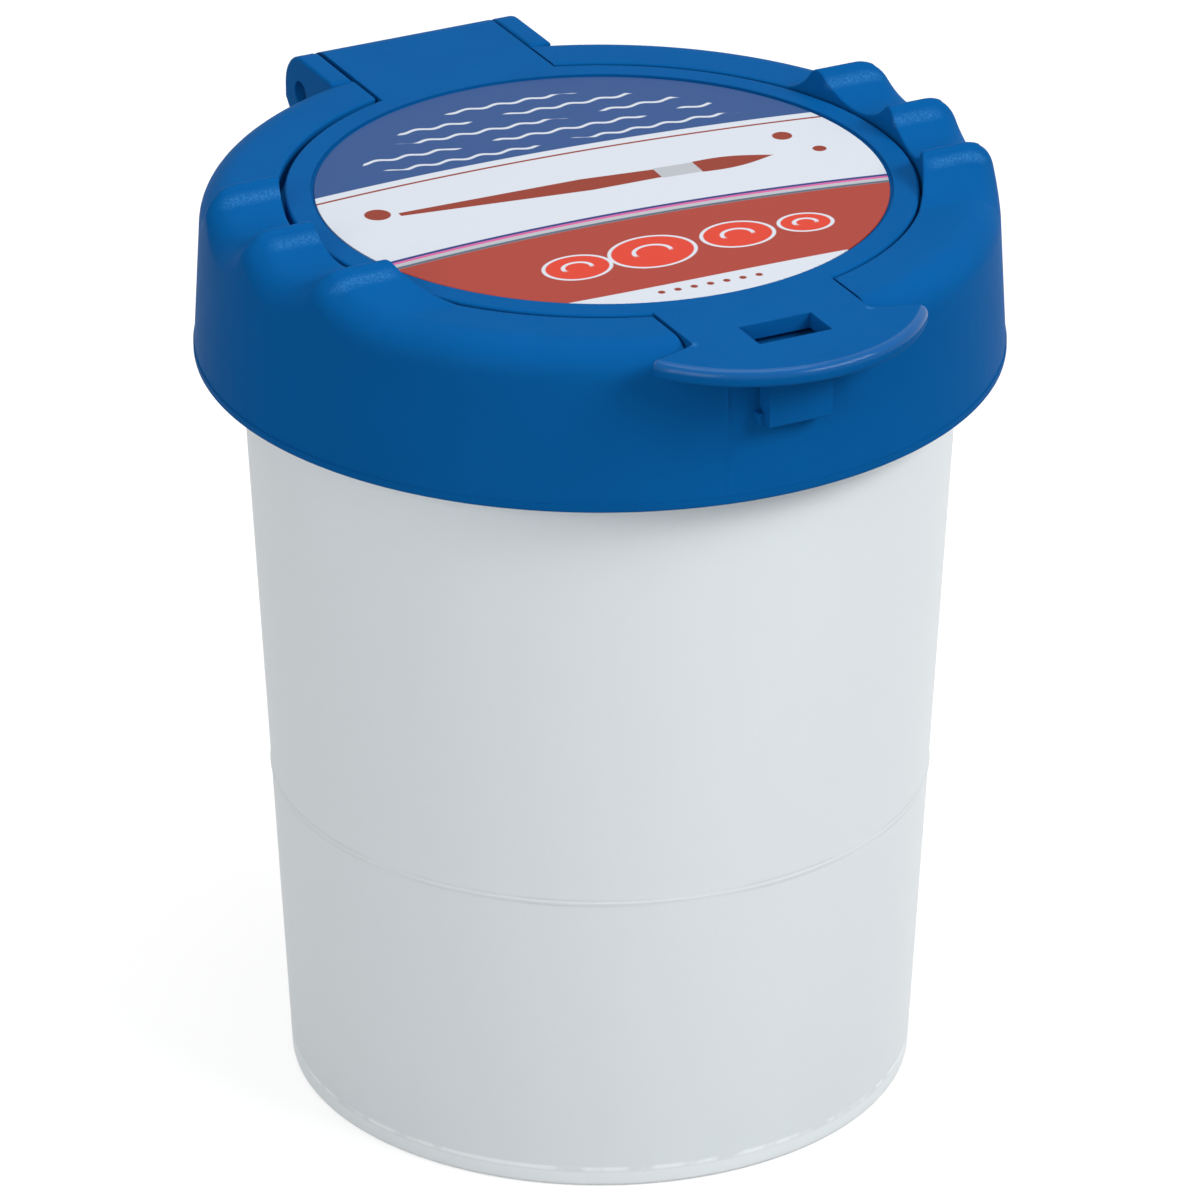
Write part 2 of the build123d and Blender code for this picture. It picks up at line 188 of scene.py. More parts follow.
class FlapSizes(bpy.types.PropertyGroup):
    """Sizes of the hinged flap with its tab and latch."""
    slot_gap: length("Slot gap", 0.35 * MM, "Gap beside the neck and the tongue")
    thickness: length("Thickness", 2.0 * MM, "Thickness of the disc")
    edge_round: length("Edge round", 0.3 * MM, "Round of the upper edges")
    edge_chamfer: length("Edge chamfer", 0.5 * MM, "Chamfer of the lower edge")
    play_x: place("Play in X", 0.12 * MM, "How far the flap lies off its middle to the right")
    play_y: place("Play in Y", -0.2 * MM, "How far the flap lies off its middle to the back")
    label_gap: length("Label gap", 0.35 * MM, "Gap round the label")
    label_recess: length("Label recess", 0.3 * MM, "Depth of the label's recess")
    plug_wall: length("Plug wall", 1.2 * MM, "Wall of the plug ring")
    plug_depth: length("Plug depth", 3.6 * MM, "Depth of the plug ring")
    plug_chamfer: length("Plug chamfer", 0.4 * MM, "Chamfer of the plug's lead-in")
    groove_ease: length("Groove ease", 0.1 * MM, "Gap beside the seal in its groove")
    neck_half_width: length("Neck half width", 9.4 * MM, "Half the width of the neck")
    tab_thickness: length("Tab thickness", 1.6 * MM, "Thickness of the finger tab")
    tab_radius: length("Tab radius", 17.7 * MM, "Radius of the tab's front edge")
    tab_root_y: place("Tab root", -37.66 * MM, "Where the tab meets the neck")
    wing_sweep: length("Wing sweep", 1.7 * MM, "How far the tab's rear edge sweeps forwards")
    tip_round: length("Tip round", 1.0 * MM, "Round of the tab's tips")
    tab_edge_round: length("Tab edge round", 0.75 * MM, "Round of the tab's upper edge")
    window_half_width: length("Window half width", 3.85 * MM, "Half the width of the window")
    window_length: length("Window length", 4.3 * MM, "Length of the window")
    foot_reach: length("Foot reach", 0.55 * MM, "From the hook's plate to its foot's tip")
    hook_thickness: length("Hook thickness", 1.25 * MM, "Thickness of the hook's plate")
    hook_half_width: length("Hook half width", 3.4 * MM, "Half the width of the plate")
    foot_half_width: length("Foot half width", 4.0 * MM, "Half the width of the hook's foot")
    foot_height: length("Foot height", 1.2 * MM, "Height of the hook's foot")
    catch_reach: length("Catch reach", 0.35 * MM, "How far the catch stands out")
    rib_gap: length("Rib gap", 0.2 * MM, "Gap between the plate's ribs and the skirt")
    catch_half_width: length("Catch half width", 2.3 * MM, "Half the width of the catch")
    catch_gap: length("Catch gap", 0.2 * MM, "Gap between the foot and the catch")
    catch_height: length("Catch height", 1.2 * MM, "Height of the catch")
    catch_slope: length("Catch slope", 0.9 * MM, "Slope on top of the catch")


class HingeSizes(bpy.types.PropertyGroup):
    """Sizes of the hinge at the back."""
    pin_radius: length("Pin radius", 1.25 * MM, "Radius of the pin")
    running_gap: length("Running gap", 0.08 * MM, "Gap round the pin in the ears")
    press_gap: length("Press gap", 0.03 * MM, "Gap round the pin in the barrel")
    tongue_half_width: length("Tongue half width", 9.6 * MM, "Half the width of the tongue")
    barrel_radius: length("Barrel radius", 3.0 * MM, "Radius of the barrel")
    ear_radius: length("Ear radius", 3.8 * MM, "Radius of the ears")
    ear_thickness: length("Ear thickness", 2.4 * MM, "Thickness of an ear")
    ear_drop: length("Ear drop", 1.6 * MM, "How far an ear runs down behind the pin")
    web_length: length("Web length", 9.0 * MM, "How far an ear's web runs down the skirt")
    edge_round: length("Edge round", 0.35 * MM, "Round of the ears' and tongue's edges")


class FunnelSizes(bpy.types.PropertyGroup):
    """Sizes of the spill funnel."""
    wall: length("Wall", 1.2 * MM, "Thickness of the wall")
    mouth_depth: length("Mouth depth", 3.2 * MM, "Depth of the straight mouth")
    cone_depth: length("Cone depth", 21.0 * MM, "Depth of the cone")
    tube_radius: length("Tube radius", 11.0 * MM, "Inner radius of the tube")
    edge_round: length("Edge round", 0.3 * MM, "Round of the edges")


class Finishes(bpy.types.PropertyGroup):
    """Colours of the plastics, the rubber and the print."""
    blue: colour("Blue", 8, 86, 150, "Colour of the blue plastic")
    # Also the colour of the painted highlights in the corners between the flap's neck and tab
    scuff_and_highlight: colour("Scuff", 56, 122, 184, "Colour of the rubbed plastic on the rests")
    frosted: colour("Frosted", 226, 233, 236, "Colour of the frosted cup")
    natural: colour("Natural", 222, 226, 226, "Colour of the natural plastic insert")
    rubber: colour("Rubber", 205, 204, 198, "Colour of the gasket and seal")
    pin: colour("Pin", 10, 52, 104, "Colour of the hinge pin")
    paper: colour("Paper", 206, 212, 221, "White of the label")
    print_blue: colour("Print blue", 42, 76, 130, "Blue of the label")
    print_red: colour("Print red", 160, 60, 48, "Red of the label")
    print_bright: colour("Print bright", 208, 62, 42, "Bright red of the label")
    print_pink: colour("Print pink", 204, 94, 152, "Pink line of the label")
    print_navy: colour("Print navy", 40, 52, 117, "Navy line of the label")
    print_grey: colour("Print grey", 176, 180, 186, "Grey line of the label")
    print_slate: colour("Print slate", 86, 96, 112, "Dark line of the label")
    print_rust: colour("Print rust", 138, 52, 34, "Red-brown lines of the label")


class StageSizes(bpy.types.PropertyGroup):
    """Camera, lamps and floor."""
    camera_turn: angle("Camera turn", -27.0, "Where the camera stands, round from the front")
    camera_rise: angle("Camera rise", 25.98, "Elevation of the camera")
    camera_distance: length("Camera distance", 0.8435, "From the camera to its target")
    target_height: length("Target height", 49.32 * MM, "Height of the camera's target")
    sensor_width: number("Sensor width", 36.0, "Width of the camera's sensor, in millimetres")
    lens: FloatProperty(name="Lens", description="Focal length of the camera", default=253.69,
                        subtype="DISTANCE_CAMERA")
    ambient: number("Ambient", 0.34, "Level of the surrounding light")
    floor_half_width: length("Floor half width", 3.0, "Half the width of the floor")
    floor_grey: number("Floor grey", 0.4, "Level of the floor's own grey")
    floor_glow: number("Floor glow", 0.7, "Light of the floor as it is seen")
    turned_steps: number("Turned steps", 360, "Steps of a full turn")
    collar_steps: number("Collar steps", 900, "Steps of the collar's turn")


GROUPS = {"cup": CupSizes, "thread": ThreadSizes, "collar": CollarSizes, "rest": RestSizes,
          "flap": FlapSizes, "hinge": HingeSizes, "funnel": FunnelSizes, "finish": Finishes,
          "stage": StageSizes}


def settings(group):
    """The settings of one group of the scene."""
    return getattr(bpy.context.scene, "paintcup_" + group)


# Sizes that follow from the settings

def neck_radius():
    cup = settings("cup")
    return cup.foot_radius + (cup.rim_height - cup.neck_length) * tan(cup.draft)


def bore_radius():
    thread = settings("thread")
    return neck_radius() + thread.depth + thread.clearance


def ring_top():
    collar = settings("collar")
    return collar.recess_floor + collar.recess_depth


def shoulder_radius():
    return bore_radius() + settings("collar").wall


def recess_radius():
    return shoulder_radius() - settings("collar").ring_width


def mouth_radius():
    return recess_radius() - settings("collar").ledge_width


def skirt_radius(height):
    """Outer radius of the collar's drafted skirt at a height."""
    collar = settings("collar")
    shoulder = ring_top() - collar.top_round
    return shoulder_radius() + (shoulder - height) * tan(collar.draft)


def catch_base():
    flap = settings("flap")
    return low("flap_lid").z + flap.foot_height + flap.catch_gap


def catch_tip():
    return -(skirt_radius(catch_base()) + settings("flap").catch_reach)


def foot_tip():
    return catch_tip() - settings("flap").catch_gap


def hook_back():
    return foot_tip() - settings("flap").foot_reach


# Mesh tools

def outline(bm, corners, along=("x", "z")):
    """Closed wire through (first, second, round) corners, with each round as an arc."""
    verts = []
    for first, second, _ in corners:
        point = Vector()
        setattr(point, along[0], first)
        setattr(point, along[1], second)
        verts.append(bm.verts.new(point))
    for pair in zip(verts, verts[1:] + verts[:1]):
        bm.edges.new(pair)
    for vert, (_, _, radius) in zip(verts, corners):
        if radius:
            steps = SMALL_ROUND_STEPS if radius < SMALL_ROUND else LARGE_ROUND_STEPS
            round_corner(bm, vert, radius, steps)


def round_corner(bm, vert, radius, steps):
    """Rounds the corner between a vertex's two edges to a radius."""
    sides = [edge.other_vert(vert).co - vert.co for edge in vert.link_edges]
    bevel(bm, [vert], radius / tan(sides[0].angle(sides[1]) / 2), steps, "VERTICES")


def bevel(bm, parts, offset, steps, kind="EDGES", clamp=False):
    """Rounds edges or vertices by an offset, in steps."""
    bmesh.ops.bevel(bm, geom=parts, offset=offset, offset_type="OFFSET", segments=steps,
                    profile=0.5, affect=kind, clamp_overlap=clamp, material=-1)


def split_edges(bm, test, size):
    """Divides the wire edges that pass the test into parts no longer than a size."""
    for edge in [edge for edge in bm.edges if test(edge)]:
        cuts = int(edge.calc_length() / size)
        if cuts:
            bmesh.ops.subdivide_edges(bm, edges=[edge], cuts=cuts)


def ends(edge, axis):
    """Lower and higher place of an edge's ends along an axis."""
    return sorted(getattr(vert.co, axis) for vert in edge.verts)


def turn(bm, steps):
    """Spins the wire round the Z axis to a closed surface."""
    bmesh.ops.spin(bm, geom=bm.verts[:] + bm.edges[:], cent=(0, 0, 0), axis=(0, 0, 1),
                   angle=tau, steps=steps, use_merge=True)
    close(bm)


def close(bm):
    """Merges doubles, as at the poles, and points all faces outwards."""
    bmesh.ops.remove_doubles(bm, verts=bm.verts, dist=MERGE_DISTANCE)
    for edge in [edge for edge in bm.edges if not edge.link_faces]:
        bm.edges.remove(edge)
    loose = [vert for vert in bm.verts if not vert.link_faces]
    bmesh.ops.delete(bm, geom=loose, context="VERTS")
    bmesh.ops.recalc_face_normals(bm, faces=bm.faces)


def turned(corners, steps=None):
    """Mesh of revolution round the Z axis from (radius, height, round) corners."""
    bm = bmesh.new()
    outline(bm, corners)
    turn(bm, steps or settings("stage").turned_steps)
    return bm


def ring(inner, outer, base, top, edge=0.0):
    """Ring of a rectangular section, or a disc where the inner radius is 0."""
    return turned([(inner, base, edge), (outer, base, edge), (outer, top, edge),
                   (inner, top, edge)])


def thick(bm, offset):
    """Gives the wire in the mesh a face and extrudes it by an offset."""
    bmesh.ops.contextual_create(bm, geom=bm.edges[:])
    move_new(bm, bmesh.ops.extrude_face_region(bm, geom=bm.faces[:] + bm.edges[:] + bm.verts[:]),
             offset)
    close(bm)


def move_new(bm, grown, offset):
    """Moves the vertices that an extrusion has made."""
    verts = [item for item in grown["geom"] if isinstance(item, bmesh.types.BMVert)]
    bmesh.ops.translate(bm, verts=verts, vec=offset)


def across(corners, half_width, middle=0.0):
    """Solid from (y, height, round) corners with a width along X."""
    bm = bmesh.new()
    outline(bm, corners, ("y", "z"))
    bmesh.ops.translate(bm, verts=bm.verts, vec=(middle - half_width, 0, 0))
    thick(bm, Vector((2 * half_width, 0, 0)))
    return bm


def box(low_corner, high_corner):
    """Plain block between two corners, for cuts."""
    bm = bmesh.new()
    size = Vector(high_corner) - Vector(low_corner)
    middle = (Vector(high_corner) + Vector(low_corner)) / 2
    bmesh.ops.create_cube(bm, size=1)
    bmesh.ops.scale(bm, verts=bm.verts, vec=size)
    bmesh.ops.translate(bm, verts=bm.verts, vec=middle)
    return bm


def rod(radius, half_length, steps=64):
    """Round rod along X through the hinge axis."""
    bm = bmesh.new()
    lie = Matrix.Translation(HINGE) @ Matrix.Rotation(pi / 2, 4, "Y")
    bmesh.ops.create_cone(bm, cap_ends=True, segments=steps, radius1=radius, radius2=radius,
                          depth=2 * half_length, matrix=lie)
    return bm


def soften(bm, test, size, steps=3):
    """Bevels the sharp edges that pass the test."""
    edges = [edge for edge in bm.edges
             if edge.is_manifold and edge.calc_face_angle() > SOFTENED_ANGLE and test(edge)]
    bevel(bm, edges, size, steps, clamp=True)


def thread_ridge(root_radius, crest_radius, start):
    """Helical ridge on a wall, from the wall's radius to the ridge's crest."""
    thread = settings("thread")
    sink = thread.sink if crest_radius > root_radius else -thread.sink
    bm = bmesh.new()
    root, crest = thread.root_width / 2, thread.crest_width / 2
    outline(bm, [(root_radius - sink, start - root, 0), (crest_radius, start - crest, 0),
                 (crest_radius, start + crest, 0), (root_radius - sink, start + root, 0)])
    steps = int(settings("stage").turned_steps * thread.turns / 2)
    rise = thread.pitch * thread.turns / steps
    bmesh.ops.spin(bm, geom=bm.verts[:] + bm.edges[:], cent=(0, 0, 0), axis=(0, 0, 1),
                   dvec=(0, 0, rise), angle=tau * thread.turns, steps=steps)
    bmesh.ops.holes_fill(bm, edges=[edge for edge in bm.edges if edge.is_boundary], sides=4)
    close(bm)
    return bm


def stand_in(bm, name):
    """Puts a mesh in the scene as a plain object."""
    mesh = bpy.data.meshes.new(name)
    bm.to_mesh(mesh)
    bm.free()
    made = bpy.data.objects.new(name, mesh)
    bpy.context.scene.collection.objects.link(made)
    return made


def combined(bm, operation, tools):
    """The mesh after a boolean with each of the tool meshes."""
    host = stand_in(bm, "host")
    others = [stand_in(tool, "tool") for tool in tools]
    for other in others:
        modifier = host.modifiers.new(operation, "BOOLEAN")
        modifier.operation = operation
        modifier.solver = "MANIFOLD"
        modifier.object = other
    result = bmesh.new()
    result.from_object(host, bpy.context.evaluated_depsgraph_get())
    for spare in [host, *others]:
        mesh = spare.data
        bpy.data.objects.remove(spare)
        bpy.data.meshes.remove(mesh)
    close(result)
    return result


def finish_piece(bm, name, node, body, slot):
    """Makes the mesh a piece that stands for a node: shading, material, body and slot."""
    for face in bm.faces:
        face.smooth = True
    for edge in bm.edges:
        edge.smooth = edge.calc_face_angle(0) < SHARP_ANGLE
    piece = stand_in(bm, name)
    piece.data.materials.append(material(slot))
    weighted = piece.modifiers.new("even_shading", "WEIGHTED_NORMAL")
    weighted.keep_sharp = True
    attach(piece, body)
    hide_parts(node)


# Material tools

def add_node(tree, kind, links, levels):
    """New shader node, with sockets linked to some inputs and levels set on others."""
    node = tree.nodes.new("ShaderNode" + kind)
    for name, socket in links.items():
        tree.links.new(socket, node.inputs[name])
    set_levels(node, levels)
    return node


def set_levels(node, levels):
    """Sets inputs of a node by their names."""
    for name, level in levels.items():
        node.inputs[name].default_value = level


class Field:
    """A number over a surface, with sums and products that each make one Math node."""

    def __init__(self, tree, socket):
        self.tree = tree
        self.socket = socket

    def math(self, operation, *others):
        node = self.tree.nodes.new("ShaderNodeMath")
        node.operation = operation
        for value, entry in zip((self, *others), node.inputs):
            if isinstance(value, Field):
                self.tree.links.new(value.socket, entry)
            else:
                entry.default_value = value
        return Field(self.tree, node.outputs[0])

    def __add__(self, other):
        return self.math("ADD", other)

    def __sub__(self, other):
        return self.math("SUBTRACT", other)

    def __mul__(self, other):
        return self.math("MULTIPLY", other)

    def size(self):
        return self.math("ABSOLUTE")

    def sine(self):
        return self.math("SINE")

    def either(self, other):
        return self.math("MAXIMUM", other)

    def rise(self, start, end):
        """Smooth step from 0 at start to 1 at end, or back down where end is the lower."""
        first, last = (0.0, 1.0) if start < end else (1.0, 0.0)
        node = add_node(self.tree, "MapRange", {"Value": self.socket}, {
            "From Min": min(start, end), "From Max": max(start, end),
            "To Min": first, "To Max": last})
        node.interpolation_type = "SMOOTHSTEP"
        return Field(self.tree, node.outputs["Result"])

    def below(self, limit, soft=0.06):
        """1 where the number is under the limit, with a soft edge."""
        return self.rise(limit + soft, limit - soft)

    def above(self, limit, soft=0.06):
        """1 where the number is over the limit, with a soft edge."""
        return self.rise(limit - soft, limit + soft)


def distance(first, second):
    """Distance from the point where both numbers are 0."""
    return (first * first + second * second).math("SQRT")


class Finish:
    """A new material with its principled shader, and places on the object in millimetres."""

    def __init__(self, name, roughness, specular):
        self.material = bpy.data.materials.new(name)
        self.material.use_nodes = True
        self.tree = self.material.node_tree
        self.shader = self.tree.nodes["Principled BSDF"]
        set_levels(self.shader, {"Roughness": roughness, "Specular IOR Level": specular})
        coordinates = self.tree.nodes.new("ShaderNodeTexCoord")
        self.mapping = add_node(self.tree, "Mapping", {"Vector": coordinates.outputs["Object"]},
                                {"Scale": (1 / MM,) * 3})
        split = add_node(self.tree, "SeparateXYZ", {"Vector": self.mapping.outputs["Vector"]}, {})
        self.x, self.y, self.z = (Field(self.tree, out) for out in split.outputs)

    def noise(self, scale, detail=2.0, stretch=(1, 1, 1)):
        """Noise from 0 to 1, with a scale in waves per millimetre."""
        stretched = add_node(self.tree, "Mapping", {"Vector": self.mapping.outputs["Vector"]},
                             {"Scale": stretch})
        node = add_node(self.tree, "TexNoise", {"Vector": stretched.outputs["Vector"]},
                        {"Scale": scale, "Detail": detail})
        return Field(self.tree, node.outputs["Fac"])

    def specks(self, spacing):
        """Distance to scattered points, in millimetres."""
        node = add_node(self.tree, "TexVoronoi", {"Vector": self.mapping.outputs["Vector"]},
                        {"Scale": 1 / spacing})
        return Field(self.tree, node.outputs["Distance"]) * spacing

    def mixed(self, share, first, second):
        """Colour between two others, by a share."""
        node = self.tree.nodes.new("ShaderNodeMix")
        node.data_type = "RGBA"
        self.tree.links.new(share.socket, node.inputs["Factor"])
        colours = [entry for entry in node.inputs if entry.type == "RGBA"]
        for value, entry in zip((first, second), colours):
            if isinstance(value, bpy.types.NodeSocket):
                self.tree.links.new(value, entry)
            else:
                entry.default_value = tuple(value)
        return next(out for out in node.outputs if out.type == "RGBA")

    def paint(self, colour_socket):
        """Gives the surface a colour that changes over it."""
        self.tree.links.new(colour_socket, self.shader.inputs["Base Color"])

    def feed(self, name, field):
        """Lets a field set an input of the shader."""
        self.tree.links.new(field.socket, self.shader.inputs[name])

    def emboss(self, field, depth, edge=0.0):
        """Bump of a depth in metres, over edges that are rounded by a small radius."""
        bump = add_node(self.tree, "Bump", {"Height": field.socket},
                        {"Strength": 1.0, "Distance": depth})
        if edge:
            rounded = add_node(self.tree, "Bevel", {}, {"Radius": edge})
            rounded.samples = 4
            self.tree.links.new(rounded.outputs["Normal"], bump.inputs["Normal"])
        self.tree.links.new(bump.outputs["Normal"], self.shader.inputs["Normal"])

    def let_light_in(self, weight, depth):
        """Lets light into the plastic to a depth in metres, the same in all colours."""
        set_levels(self.shader, {"Subsurface Weight": weight, "Subsurface Scale": depth,
                                 "Subsurface Radius": (1.0, 1.0, 1.0)})


def shade(value, share):
    """A colour made darker or lighter by a share."""
    return (*(min(1.0, level * share) for level in value[:3]), 1.0)


def blue_plastic():
    """Blue polypropylene: fine satin grain, slight mottling, scuffed and polished places, and
    painted highlights in the neck's corners.
    """
    finish = settings("finish")
    gloss = 0.008
    made = Finish("blue_plastic", roughness=0.45, specular=gloss)
    mottling = made.noise(0.12, detail=3)
    mottled = made.mixed(mottling, shade(finish.blue, 0.93), shade(finish.blue, 1.07))
    # Scuffs on the rests, together with painted highlights in the neck's corners, both laid in the
    # lighter colour
    wear_and_corner_highlights = rubbed_rests(made).either(painted_corner_highlights(made))
    made.paint(made.mixed(wear_and_corner_highlights, mottled, finish.scuff_and_highlight))
    polished = polished_edge(made)
    satin = made.noise(0.5, detail=4) * 0.1 + 0.42
    made.feed("Roughness", satin - polished * 0.32)
    made.feed("Specular IOR Level", polished * 0.13 + gloss)
    made.emboss(made.noise(3.0, detail=3), 0.012 * MM, edge=0.18 * MM)
    return made.material


def rubbed_rests(made):
    """Fine scuffed streaks before the crests of the brush rests, towards their outer ends."""
    rest = settings("rest")
    pitch = rest.pitch / MM
    setback, lowest, last_y = 1.5, 95.4, 17.0
    inner_end, outer_end = 29.0, 36.2
    behind = (made.y - (rest.middle_y / MM - setback)).math("WRAP", pitch / 2, -pitch / 2)
    streak = behind.size().below(0.45, soft=0.35)
    sideways = made.x.size()
    outwards = sideways.above(inner_end, soft=0.9) * sideways.below(outer_end, soft=1.0)
    upper = made.z.above(lowest, soft=0.4) * made.y.size().below(last_y, soft=1.0)
    scratches = made.noise(5.0, detail=4).rise(0.35, 0.75)
    return streak * outwards * upper * (scratches * 0.6 + 0.12)


def painted_corner_highlights(made):
    """Painted highlights in the corners between the neck and the tab, as small lighter spots."""
    flap = settings("flap")
    beside = made.x.size() - flap.neck_half_width / MM
    before = made.y - flap.tab_root_y / MM
    return distance(beside, before).below(0.35, soft=0.3) * on_upper_side(made) * 0.6


def polished_edge(made):
    """The tab's front edge, polished by fingers."""
    flap = settings("flap")
    middle = (low("flap_lid").y + flap.tab_radius) / MM
    edge = (flap.tab_radius - flap.tab_edge_round) / MM
    neck_end = -38.0
    rounded = distance(made.x, made.y - middle).above(edge, soft=0.12)
    return rounded * made.y.below(neck_end, soft=0.4) * on_upper_side(made)


def on_upper_side(made):
    """1 on the flap's upper side, 0 on its edges and below."""
    upper_side = 93.6
    return made.z.above(upper_side, soft=0.15)


def frosted_plastic():
    """Frosted natural polypropylene: milky, with a cloudy wall and specks, a foot painted paler and
    a painted bright line above it.
    """
    frosted = settings("finish").frosted
    cup = settings("cup")
    made = Finish("frosted_plastic", roughness=0.42, specular=0.3)
    foot_top = cup.foot_recess / MM
    line_height = foot_top + 0.35
    clouds = made.noise(0.03, detail=3, stretch=(1, 1, 0.4))
    tone = made.mixed(clouds, shade(frosted, 0.97), shade(frosted, 1.02))
    # Painted light: the foot ring is painted paler, against the shade near the floor
    tone = made.mixed(made.z.below(foot_top, soft=0.15), tone, shade(frosted, 1.1))
    # Painted light: a broken bright line above the foot, where the floor's edge shows through the
    # wall
    line = (made.z - line_height).size().below(0.22, soft=0.12)
    breaks = made.noise(0.35, detail=3).rise(0.36, 0.56)
    tone = made.mixed(line * breaks, tone, shade(frosted, 1.2))
    # Painted shade: both edges of the raised fill mark are darkened, in broken stretches
    beside = (made.z - cup.mark_height / MM).size() - cup.mark_width / 2 / MM
    mark_edge_shade = beside.size().below(0.1, soft=0.12) * made.noise(0.09, detail=2).rise(0.3, 0.6)
    tone = made.mixed(mark_edge_shade * 0.6, tone, shade(frosted, 0.8))
    dirt = made.specks(spacing=14).below(0.28, soft=0.1)
    patches = made.noise(0.11, detail=1).rise(0.6, 0.64)
    made.paint(made.mixed(dirt * patches * 0.6, tone, shade(frosted, 0.35)))
    made.emboss(made.noise(2.2, detail=3), 0.01 * MM, edge=0.2 * MM)
    made.let_light_in(0.25, 2.0 * MM)
    return made.material


def natural_plastic():
    """Natural polypropylene of the funnel, smoother than the cup."""
    natural = settings("finish").natural
    made = Finish("natural_plastic", roughness=0.35, specular=0.35)
    made.paint(made.mixed(made.noise(0.05, detail=3), shade(natural, 0.95), shade(natural, 1.03)))
    made.emboss(made.noise(1.5, detail=3), 0.01 * MM, edge=0.2 * MM)
    made.let_light_in(0.4, 2.0 * MM)
    return made.material


def gasket_rubber():
    """Pale soft rubber of the gasket and the flap's seal."""
    rubber = settings("finish").rubber
    made = Finish("gasket_rubber", roughness=0.7, specular=0.25)
    made.paint(made.mixed(made.noise(0.4, detail=4), shade(rubber, 0.9), shade(rubber, 1.04)))
    made.emboss(made.noise(2.5, detail=4), 0.02 * MM)
    return made.material


def pin_plastic():
    """Smooth dark plastic of the hinge pin, with fine drawing lines along it."""
    pin = settings("finish").pin
    made = Finish("pin_plastic", roughness=0.35, specular=0.3)
    drawn = made.noise(0.8, detail=2, stretch=(0.1, 1, 1))
    made.paint(made.mixed(drawn, shade(pin, 0.85), shade(pin, 1.1)))
    made.emboss(made.noise(2.0, detail=2, stretch=(0.05, 1, 1)), 0.01 * MM)
    return made.material


def printed_label():
    """Printed film: blue water with ripples, a white band with a brush, and red with blots."""
    made = Finish("printed_label", roughness=0.38, specular=0.06)
    turn_of_print = radians(2.8)
    made.mapping.inputs["Rotation"].default_value = (0, 0, turn_of_print)
    layers = Print(made)
    layers.water()
    layers.brush()
    layers.bands()
    layers.blots()
    made.paint(layers.colour)
    made.emboss(made.noise(1.2, detail=2), 0.004 * MM)
    return made.material


def stroke(value, half, soft=0.06):
    """1 within half a stroke's width of where the number is 0."""
    return value.size().below(half, soft)


class Print:
    """Inks laid over the label's paper in turn. Places are in millimetres from its middle."""

    def __init__(self, made):
        self.made = made
        self.along, self.over = made.x, made.y
        self.inks = settings("finish")
        paper = self.inks.paper
        self.colour = made.mixed(made.noise(0.1, detail=2), shade(paper, 0.985), paper)

    def ink(self, mask, name):
        """Lays an ink over what is printed so far, where the mask is 1."""
        self.colour = self.made.mixed(mask, self.colour, getattr(self.inks, name))

    def water(self):
        """Blue water at the back, with pale ripples and a red-brown line before it."""
        along, over = self.along, self.over
        bend, water_edge, first_row, half_spacing, print_radius = 0.0024, 10.2, 11.8, 1.4, 23.8
        edge = over + along * along * bend - water_edge
        self.ink(edge.above(0), "print_blue")
        wave = (along * 1.9).sine() * 0.24
        ripple = over + wave - first_row
        rows = stroke(ripple.math("WRAP", half_spacing, -half_spacing), 0.22, soft=0.1)
        inside = distance(along, over).below(print_radius) * ripple.above(-1.0)
        unbroken = (along * 0.31 + over * 0.9).sine().above(-0.72)
        self.ink(rows * (inside * unbroken), "paper")
        self.ink(stroke(edge + 1.35, 0.17), "print_rust")

    def brush(self):
        """Brush across the white band: handle, ferrule and tip, with three spots of paint."""
        along, over = self.along, self.over
        handle_middle, ferrule_middle, tip_start = 7.0, 8.6, 10.7
        axis = over + along * 0.035 - 0.9
        thickness = (along + 1.0).size() * -0.055 + 1.45
        handle = (axis.size() - thickness).below(0) * stroke(along + handle_middle, 13.5)
        self.ink(handle, "print_rust")
        self.ink(stroke(axis, 1.25) * stroke(along - ferrule_middle, 2.1), "print_grey")
        from_start = along - tip_start
        thickness = from_start * -0.15 + 1.35 + (from_start * 0.42).sine() * 0.55
        self.ink((axis.size() - thickness).below(0) * from_start.above(0), "print_rust")
        for spot_along, spot_over, size in ((-22.5, 2.4, 1.3), (21.6, 4.2, 1.0), (23.6, -0.2, 0.7)):
            spot = distance(along - spot_along, over - spot_over)
            self.ink(spot.below(size), "print_rust")

    def bands(self):
        """Four lines before the white band, and the red band before them."""
        along, over = self.along, self.over
        bend, lines_place, front_edge = 0.003, 7.65, 24.0
        edge = over + along * along * bend + lines_place
        for shift, half, name in ((0.95, 0.24, "print_navy"), (0.5, 0.22, "print_pink"),
                                  (-0.05, 0.34, "print_grey"), (-0.6, 0.24, "print_slate")):
            self.ink(stroke(edge - shift, half), name)
        front = over - (along * 0.11).sine() * 0.3 + front_edge
        self.ink(edge.below(-0.84) * front.above(0), "print_red")

    def blots(self):
        """Round bright blots with a pale curl each, and a row of small dots before them."""
        along, over = self.along, self.over
        blot_row, dot_row, half_spacing, row_half_length = 16.6, 25.6, 0.85, 6.2
        middle = over + blot_row - (along * 0.12 + 0.4).sine() * 0.6
        for place_along, size in ((-10.0, 2.6), (-1.9, 3.4), (7.3, 2.8), (14.5, 2.0)):
            blot = distance((along - place_along) * 0.8, middle) - size
            self.ink(blot.below(0.28), "paper")
            self.ink(blot.below(-0.02), "print_bright")
            curl = stroke(blot + size * 0.55, 0.17) * middle.above(-0.3, soft=0.3)
            self.ink(curl, "paper")
        dots = distance(along.math("WRAP", half_spacing, -half_spacing), over + dot_row)
        self.ink(dots.below(0.36, soft=0.08) * stroke(along, row_half_length), "print_rust")


MAKERS = {"blue_plastic": blue_plastic, "frosted_plastic": frosted_plastic,
          "natural_plastic": natural_plastic, "gasket_rubber": gasket_rubber,
          "pin_plastic": pin_plastic, "label_film": printed_label}
MATERIALS = {}


def material(slot):
    """The material of a slot, made when it is first asked for."""
    if slot not in MATERIALS:
        MATERIALS[slot] = MAKERS[slot]()
    return MATERIALS[slot]


# Operators

